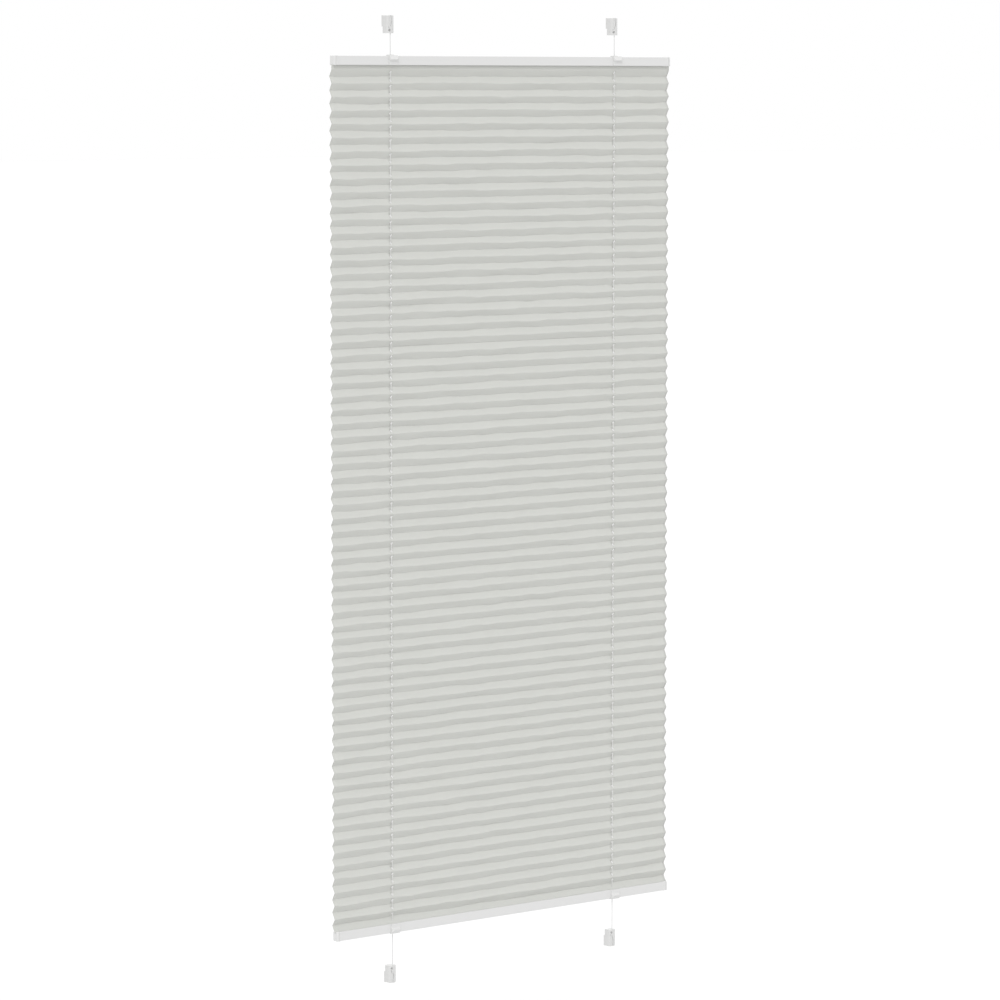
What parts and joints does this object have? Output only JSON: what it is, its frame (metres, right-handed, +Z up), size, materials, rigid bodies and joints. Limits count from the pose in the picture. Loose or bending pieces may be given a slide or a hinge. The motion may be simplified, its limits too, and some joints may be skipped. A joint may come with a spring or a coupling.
{
  "type": "pleated blind",
  "caption": "Pleated window blind: one folded cloth sheet between two slim rails that slide on two taut cords held by shoes screwed to the frame.",
  "frame": {"origin": "centre of the rectangle of four screw holes, in the plane of the shoe bases' backs, which is the face of the window frame", "axes": "+X to the right as seen from the room, -Y towards the room, +Z up along the cords"},
  "size_m": [0.5, 0.0183, 1.1046],
  "materials": {
    "pleated_cloth": "matt woven polyester, crisp folds",
    "cord": "fine white braid",
    "rail_coating": "satin white powder coat on extruded aluminium",
    "cap_plastic": "satin white moulded plastic",
    "guide_plastic": "satin white moulded plastic",
    "shoe_plastic": "satin white moulded plastic",
    "bush_plastic": "natural white moulded plastic",
    "strip_plastic": "natural white extruded plastic"
  },
  "bodies": {
    "window_fittings": {"left_cord": "cord", "top_left_shoe": "shoe_plastic", "top_left_shoe_base": "shoe_plastic", "bottom_left_shoe": "shoe_plastic", "bottom_left_shoe_base": "shoe_plastic", "right_cord": "cord", "top_right_shoe": "shoe_plastic", "top_right_shoe_base": "shoe_plastic", "bottom_right_shoe": "shoe_plastic", "bottom_right_shoe_base": "shoe_plastic", "pleated_sheet": "pleated_cloth"},
    "top_rail": {"top_left_cord_guide": "guide_plastic", "top_left_cord_bush": "bush_plastic", "top_left_end_cap": "cap_plastic", "top_right_cord_guide": "guide_plastic", "top_right_cord_bush": "bush_plastic", "top_right_end_cap": "cap_plastic", "top_rail_profile": "rail_coating", "top_sheet_strip": "strip_plastic"},
    "bottom_rail": {"bottom_left_cord_guide": "guide_plastic", "bottom_left_cord_bush": "bush_plastic", "bottom_left_end_cap": "cap_plastic", "bottom_right_cord_guide": "guide_plastic", "bottom_right_cord_bush": "bush_plastic", "bottom_right_end_cap": "cap_plastic", "bottom_rail_profile": "rail_coating", "bottom_sheet_strip": "strip_plastic"}
  },
  "joints": [
    {"name": "top_rail_slide", "type": "slide", "parent": "window_fittings", "child": "top_rail", "axis": [0, 0, -1], "range_m": [0, 0.3], "deforming": ["pleated_sheet"]},
    {"name": "bottom_rail_slide", "type": "slide", "parent": "window_fittings", "child": "bottom_rail", "axis": [0, 0, 1], "range_m": [0, 0.62], "deforming": ["pleated_sheet"]}
  ]
}
